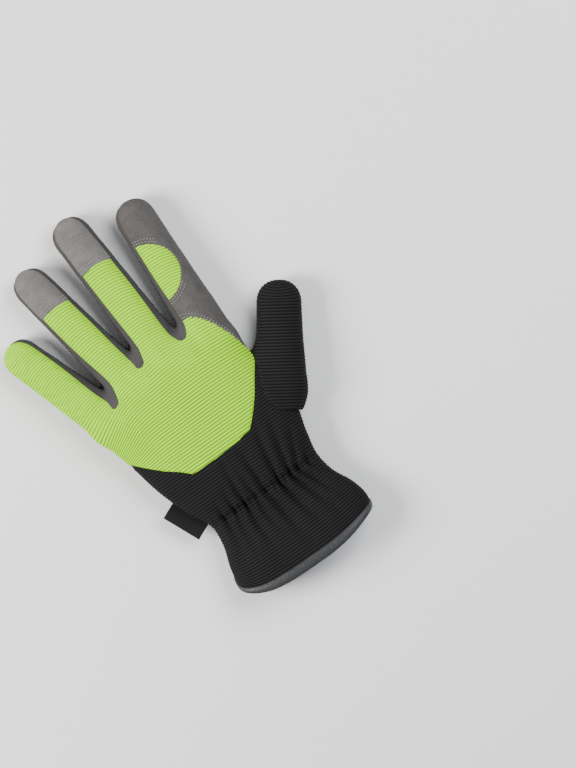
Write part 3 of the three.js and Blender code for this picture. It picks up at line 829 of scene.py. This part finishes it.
def rows_to(low, high, step=SUEDE_STEP):
    """Evenly spaced rows, no more than a step apart."""
    return np.linspace(low, high, int(math.ceil((high - low) / step)) + 1)


def seam_line(i, low, high, inside, lift):
    """A line on the back of one finger where inside is 0, for stitches."""
    return strip(i, rows_to(low, high)).keep(inside).measure().raise_by(lift).edge(0)


PATCH_START = 60.0
moon_rows = {"lower": rows_to(PATCH_START, moon_row), "upper": rows_to(moon_row, last_row(index))}
lower = strip(3, moon_rows["lower"], moon_columns, rims=("start", "left", "right")).keep(above_patch_seam)
lower.keep(outside_moon, "end")
upper = strip(3, moon_rows["upper"], moon_columns, rims=("left", "right")).keep(outside_moon)
PATCH_LIFT = 0.4
for part in (lower, upper):
    part.measure()
    in_moon = np.clip(1 - outside_moon(part.points) / 1.2, 0, 1) ** 2
    base = np.exp(-((part.from_start / 0.8) ** 2)) if part is lower else 0
    smooth_cloth(part, (), PATCH_LIFT - 0.45 * in_moon - 0.4 * base)
index_stitches = []
for distance in (1.4, 3.2):
    for rows, side in (("lower", "end"), ("upper", "start")):
        line = strip(3, moon_rows[rows], moon_columns).keep(lambda p: outside_moon(p, distance), side)
        points, normal = line.measure().raise_by(PATCH_LIFT).edge(-1 if side == "end" else 0)
        inside = outside_moon(points, distance) < 0.05
        index_stitches += stitches((points[inside], normal[inside]))
for distance in (1.6, 3.6):
    line = seam_line(3, PATCH_START, moon_row, lambda p: above_patch_seam(p, distance), PATCH_LIFT)
    index_stitches += stitches(line)
patch = build("index_patch_suede", [lower, upper], shaded_patch_suede, 1.1, index_stitches, pale_thread)
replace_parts(patch, "index_patch")

CAP_LIFT, CAP_MARGIN = 0.55, 8
for i, node_name in ((1, "ring_fingertip_cap"), (2, "middle_fingertip_cap")):
    top = last_row(FINGERS[i])
    start = top - CAP_LENGTHS[i] - CAP_MARGIN
    cap = strip(i, rows_to(start, top)).keep(above_cap_seam(i))
    smooth_cloth(cap, ("start",), CAP_LIFT, 0.4, 0.8)
    rows_of_stitches = []
    for distance in (1.7, 3.7):
        rows_of_stitches += stitches(seam_line(i, start, top, above_cap_seam(i, distance), CAP_LIFT))
    piece = build(node_name + "_suede", [cap], grey_suede, 1.1, rows_of_stitches, pale_thread)
    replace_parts(piece, node_name)

# The fourchettes: three narrow strips of darker suede that run down one finger, round the crotch and up
# the next, between the back and the palm.
dark_suede = suede("dark_suede", (0.07, 0.066, 0.066), (0.046, 0.043, 0.043))
FORK_TURN_LENGTH, FORK_MIDDLE, FORK_STEP, FORK_SINK = 16.0, 9, 0.8, 0.45


def fork_rays(k, u, w):
    """u: millimetres from the crotch, below 0 on the finger before it; w: 0 on the back to 1 below."""
    start, depth = web_rows[k] - FORK_DEPTHS[k], FORK_DEPTHS[k]
    ahead = FINGERS[k].along + FINGERS[k + 1].along
    ahead /= np.linalg.norm(ahead)
    origins, directions = [], []
    for finger_number, column, sign, s in ((k, 1.0, 1, -u[u < 0]), (k + 1, 0.0, -1, u[u >= 0])):
        finger = FINGERS[finger_number]
        rows = start + s
        t = smooth_step(0, depth + FORK_TURN_LENGTH, s)
        top = strip_rays(finger_number, rows, [column], True)
        below = strip_rays(finger_number, mix(web_rows[k] - FORK_UNDER, rows, t), [column], False)
        on_axis, finger_level, lean = finger.follow(rows + finger.row_shift)
        plan = mix(WEBS[k] - FORK_MIDDLE * ahead, on_axis, t[:, None])
        level = mix(LEVEL * hand_thick(WEBS[k][1]), finger_level, t)
        lean = lean[:, None]
        turn = (t * math.pi / 2)[:, None]
        flat = np.cos(turn) * ahead + np.sin(turn) * sign * finger.across
        flat = np.cos(lean) * flat + np.sin(lean) * finger.along
        middle_ray = (np.concatenate([plan, level[:, None]], 1), np.pad(flat, ((0, 0), (0, 1))))
        shares = (2 * (w - 0.5) * (w - 1), -4 * w * (w - 1), 2 * w * (w - 0.5))
        for found, part in ((origins, 0), (directions, 1)):
            found.append(sum(share[None, :, None] * ray[:, None, :] for share, ray in zip(
                shares, (top[part][:, 0], middle_ray[part], below[part][:, 0]))))
    return np.concatenate(origins), np.concatenate(directions)


for k, between in enumerate(("ring_little", "middle_ring", "index_middle")):
    node_name = "fourchette_" + between
    start = web_rows[k] - FORK_DEPTHS[k]
    u = np.concatenate([-rows_to(0.001, last_row(FINGERS[k]) - start, FORK_STEP)[::-1],
                        rows_to(0.0, last_row(FINGERS[k + 1]) - start, FORK_STEP)])
    fork = Cloth(fork_rays(k, u, np.linspace(-0.06, 1.06, 18)), u, flipped=True)
    smooth_cloth(fork, (), -FORK_SINK)
    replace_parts(build(node_name + "_suede", [fork], dark_suede, 0.6), node_name)

# The palm: one piece of grey suede with the fronts of the thumb, index and little finger, and two more
# pieces for the fronts of the ring and middle fingers, seamed across their bases.
BASE_SEAM = np.array([(-52.5, 100.6), (-48, 100.6), (-41.2, 103), (-32.5, 107.5), (-23, 110), (-7.5, 110.2),
                      (7.5, 109.4)])
PALM_BLACK = np.array([(-115, 4.6), (-17.2, 5.6), (-6.9, 7.6), (3.5, 10.2), (9.8, 14.3), (18.4, 24.5),
                       (28.8, 35.7), (50.0, 60.0), (90.0, 90.0)])
FRONT_COLUMNS, FRONT_START = 22, 94.0


def above_base_seam(points):
    """The seam across the bases of the ring and middle fingers' fronts: above 0 on the fingers."""
    return points[..., 1] - np.interp(points[..., 0], BASE_SEAM[:, 0], BASE_SEAM[:, 1])


def on_black(points):
    """The seam between the grey palm and the black knit from the wrist: above 0 on the black."""
    return points[..., 0] - np.interp(points[..., 1], PALM_BLACK[:, 0], PALM_BLACK[:, 1])


FOLDS = np.array([  # place at the elastic, drift above and below it, reach above and below, depth
    (-37, 0.05, -0.12, 9, 24, 1.1), (-30, 0.18, -0.06, 14, 20, 1.0), (-22.4, 0.12, 0.02, 26, 28, 1.3),
    (-15, 0.08, 0.08, 16, 22, 1.1), (-7.4, 0.06, 0.14, 30, 29, 1.5), (1.9, 0.22, 0.25, 34, 27, 1.6),
    (10, 0.28, 0.38, 30, 27, 1.6), (16, 0.45, 0.5, 22, 22, 1.4), (23, 0.4, 0.6, 12, 14, 1.0)])


def gathers(points, depth=1.0):
    """How the wrist elastic draws the cloth in: long folds that spring from it, and small puckers."""
    x, y = points[..., 0], points[..., 1]
    height = 0.5 * np.exp(-((y / 13) ** 2)) - 0.7 * np.exp(-((y / 2.2) ** 2))
    for place, drift_up, drift_down, up, down, deep in FOLDS:
        drift = np.where(y > 0, drift_up, drift_down)
        reach = np.where(y > 0, up, 1.15 * down)
        wide = 1.5 + np.where(y > 0, 0.045, 0.07) * np.abs(y)
        depth_here = deep * np.where(y > 0, 1, 1.3) * np.exp(-((y / reach) ** 2))
        height = height - depth_here * np.exp(-(((x - place - drift * np.abs(y)) / wide) ** 2))
    puckers = np.sin(2 * np.pi * x / 4.1 + 0.8 * np.sin(x / 4)) * np.exp(-((y / 4.5) ** 2))
    side = np.minimum(x - hand_left(y), hand_right(y) - x)
    return depth * (height + 0.45 * puckers) * smooth_step(0, 8, side)


palm_rows = rows_to(HEM_LINE + 1, web_rows[1] + 4)
palm = []
for i in range(4):
    rows = rows_to(HEM_LINE + 1, last_row(FINGERS[i])) if i in (0, 3) else palm_rows
    cloth = strip(i, rows, FRONT_COLUMNS, back=False)
    if i in (1, 2):
        cloth.keep(lambda p: -above_base_seam(p), "end")
    if i in (2, 3):
        cloth.keep(lambda p: -on_black(p), "right")
    smooth_cloth(cloth, {0: ("left",), 3: ("right",)}.get(i, ("end",)))
    palm.append(cloth.raise_by(gathers(cloth.points, 0.8)))
for i, node_name in ((1, "ring_finger_front"), (2, "middle_finger_front")):
    cloth = strip(i, rows_to(FRONT_START, last_row(FINGERS[i])), FRONT_COLUMNS, back=False)
    cloth.keep(above_base_seam)
    piece = build(node_name + "_suede", [smooth_cloth(cloth, ("start",))], grey_suede)
    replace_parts(piece, node_name)

# The black ribbed knit of the wrist and cuff, which comes round the thumb side to the palm, and of the
# thumb's back. A sewn-in elastic gathers it into folds at the wrist.
# Black knit: painted shade in its rib valleys.
black_knit = knit("black_knit", (0.0195, 0.0185, 0.0195), (0.0004, 0.0004, 0.0005))
BLACK_RIB = 0.42
wrist = []
for i in range(4):
    cloth = strip(i, row_range(HEM_LINE + 1, 72.0), 34)
    cloth.keep(lambda p: 1.2 - above_chevron(p), "end")
    cloth.measure()
    under = smooth_step(3.0, 0.5, -above_chevron(cloth.points))
    ribbed(cloth, (), BLACK_RIB, -0.5 * under)
    wrist.append(cloth.raise_by(gathers(cloth.points, 1.8)))
for i in (2, 3):
    cloth = strip(i, row_range(HEM_LINE + 1, 36.0), 24, back=False).keep(on_black, "left")
    wrist.append(ribbed(cloth, (), BLACK_RIB).raise_by(gathers(cloth.points, 0.8)))
wrist_piece = build("wrist_back_knit", wrist, black_knit)
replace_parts(wrist_piece, "wrist_back")


def thumb_rays(b, degrees):
    """b: along the thumb; degrees: round it, from straight up towards its outer side."""
    on_axis, level, lean = thumb.follow(b)
    lean = lean[:, None, None]
    turn = np.radians(degrees)[None, :, None]
    flat = np.cos(lean) * np.sin(turn) * thumb.across + np.sin(lean) * thumb.along
    up = np.cos(lean) * np.cos(turn)
    origins = np.concatenate([on_axis, level[:, None]], 1)[:, None, :] + 0 * up
    return origins, np.concatenate([flat, up], -1)


def clear_of_hand(points):
    """Above 0 where the thumb has left the hand."""
    return hand_and_fingers(points) - 0.25


THUMB_START, THUMB_SEAMS = 8, (-90, 138, 270)  # the last in degrees: the back, then the front
thumb_end = thumb.straight + 1.32 * thumb.tip
b = np.minimum(row_range(THUMB_START, thumb_end), thumb_end)
thumb_cloth = Cloth(thumb_rays(b, np.linspace(*THUMB_SEAMS[:2], 56)), b, whole_form)
ribbed(thumb_cloth.keep(clear_of_hand, "start", last=True), ("start",), BLACK_RIB)
thumb_piece = build("thumb_back_knit", [thumb_cloth], black_knit)
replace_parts(thumb_piece, "thumb_back")
b = rows_to(THUMB_START, thumb_end)
thumb_front = Cloth(thumb_rays(b, np.linspace(*THUMB_SEAMS[1:], 34)), b, whole_form)
thumb_front.keep(clear_of_hand, "start", last=True)
palm.append(smooth_cloth(thumb_front, ("left", "right")))

# The elastic is sewn on with two rows of square zigzags, which show on the palm.
ZIGZAG_PITCH, ZIGZAG_END = 9.6, 9
zigzags = []
for low, high in ((7.0, 9.6), (-4.0, -0.5)):
    x = np.arange(hand_left(low) + 4, ZIGZAG_END, 0.5)
    y = np.where(np.sin(2 * np.pi * x / ZIGZAG_PITCH) > 0, high, low)
    start = np.stack([x, np.convolve(np.pad(y, 2, "edge"), np.ones(5) / 5, "valid"), 10 + 0 * x], -1)
    row = Cloth((start[None], np.broadcast_to([0.0, 0.0, -1.0], start[None].shape)), [0.0]).measure()
    row.raise_by(gathers(row.points, 0.8))
    zigzags += stitches(row.edge(0), 1.6, 1.5, 0.22, 0.1)
grey_thread = thread("grey_thread", (0.085, 0.082, 0.078))
palm_piece = build("palm_panel_suede", palm, grey_suede, 0.9, zigzags, grey_thread)
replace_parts(palm_piece, "palm_panel")


# The hem: a tape of slate black leatherette folded over the cuff's edge and sewn through.
def loop_rays(v):
    """Once round the cuff at each row: over the back, then under the palm."""
    c = np.linspace(0, 1, 24)
    parts = [strip_rays(i, v, c[:-1], True) for i in range(4)] \
        + [strip_rays(i, v, c[:0:-1], False) for i in (3, 2, 1, 0)]
    first = strip_rays(0, v, [0.0], True)
    return tuple(np.concatenate([part[k] for part in parts] + [first[k]], 1) for k in (0, 1))


leatherette, tree, shader = material("leatherette", 0.5, Coat_Weight=0.08, Coat_Roughness=0.4)
crinkle = noise(tree, 1.1, 4.0)
sheen = blend_colours(tree, crinkle, (0.005, 0.0055, 0.0065), (0.021, 0.0225, 0.025))
finish_with(tree, shader, sheen, crinkle, 0.9, 0.4)
dark_thread = thread("dark_thread", (0.06, 0.06, 0.065))
hem = HEM_LINE + 0.9
turned = np.radians(np.linspace(0, 180, 9))
profile_rows = np.concatenate([[hem + 5.6, hem + 5.3, hem + 4.6, hem + 3.4, hem + 2, hem + 0.8],
                               np.full(9, hem), [hem + 1, hem + 3, hem + 5.2]])
profile_lift = np.concatenate([[0.25, 0.6, 0.7, 1.0, 1.08, 1.04], -0.55 + 1.55 * np.cos(turned),
                               [-2.1, -2.1, -2.1]])
profile_end = np.concatenate([np.zeros(6), 0.9 * np.sin(turned), np.zeros(3)])
tape = Cloth(loop_rays(profile_rows), profile_rows, flipped=True).measure()
above = Cloth(loop_rays(np.array([hem, hem + 2.0])), [hem, hem + 2.0]).points
down = above[0] - above[1]
down /= np.linalg.norm(down, axis=1, keepdims=True)
along_hem = tape.from_left[:1]
crinkles = 0.13 * np.sin(2 * np.pi * along_hem / 3.1 + 1.9 * np.sin(along_hem / 7.7))
tape.raise_by(profile_lift[:, None] + crinkles * (profile_lift[:, None] > 0.6))
tape.points = tape.points + profile_end[:, None, None] * down[None]
sewn = Cloth(loop_rays(np.array([hem + 4.6])), [hem + 4.6]).measure().raise_by(0.72)
hem_piece = build("hem_binding_leatherette", [tape], leatherette, 0.3,
                  stitches(sewn.edge(0), 2.3, 1.7, 0.2, 0.06), dark_thread)
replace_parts(hem_piece, "hem_binding")

# The tag: a folded piece of woven tape, held in the side seam above the elastic, with nothing on it.
woven, tree, shader = material("woven_tape", 0.75, Specular_IOR_Level=0.2)
picks = node(tree, "ShaderNodeTexWave", {"wave_type": "BANDS", "bands_direction": "DIAGONAL"},
             {"Vector": position(tree, 2.2), "Scale": 1.0, "Distortion": 0.4})
weave = blend_colours(tree, picks, (0.003, 0.003, 0.003), (0.011, 0.011, 0.012))
finish_with(tree, shader, weave, picks, 0.4, 0.1)
TAG_TOP, TAG_LEAN = (-60.5, 24.3), math.radians(24)
TAG_LENGTH, TAG_OUT, TAG_IN, TAG_THICK = 25.0, 7.4, 8.5, 1.2
TAG_SIDES, TAG_STATIONS = 32, 26
tag_along = np.array([math.sin(TAG_LEAN), -math.cos(TAG_LEAN), 0])
tag_out = np.array([-math.cos(TAG_LEAN), -math.sin(TAG_LEAN), 0])
angle = np.linspace(0, 2 * math.pi, TAG_SIDES, endpoint=False)
across = (TAG_OUT + TAG_IN) / 2 * np.sign(np.cos(angle)) * np.abs(np.cos(angle)) ** 0.25
thick = TAG_THICK / 2 * np.sign(np.sin(angle)) * np.abs(np.sin(angle)) ** 0.5
tag_points = []
for share in np.linspace(0, 1, TAG_STATIONS):
    bow = 0.5 * math.sin(math.pi * share) - 0.2
    for a, t in zip(across, thick):
        place = np.array([*TAG_TOP, SIDE_SEAM + 0.2]) + tag_along * share * TAG_LENGTH
        lift = t + bow * np.clip(a / TAG_OUT, 0, 1) ** 2
        tag_points.append(place + tag_out * (a + (TAG_OUT - TAG_IN) / 2) + np.array([0, 0, lift]))
tag_solid = (np.array(tag_points), tube_faces(TAG_STATIONS, TAG_SIDES))
tag = build("label_tag_woven", [], woven, 0.3, [tag_solid], woven)
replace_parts(tag, "label_tag")
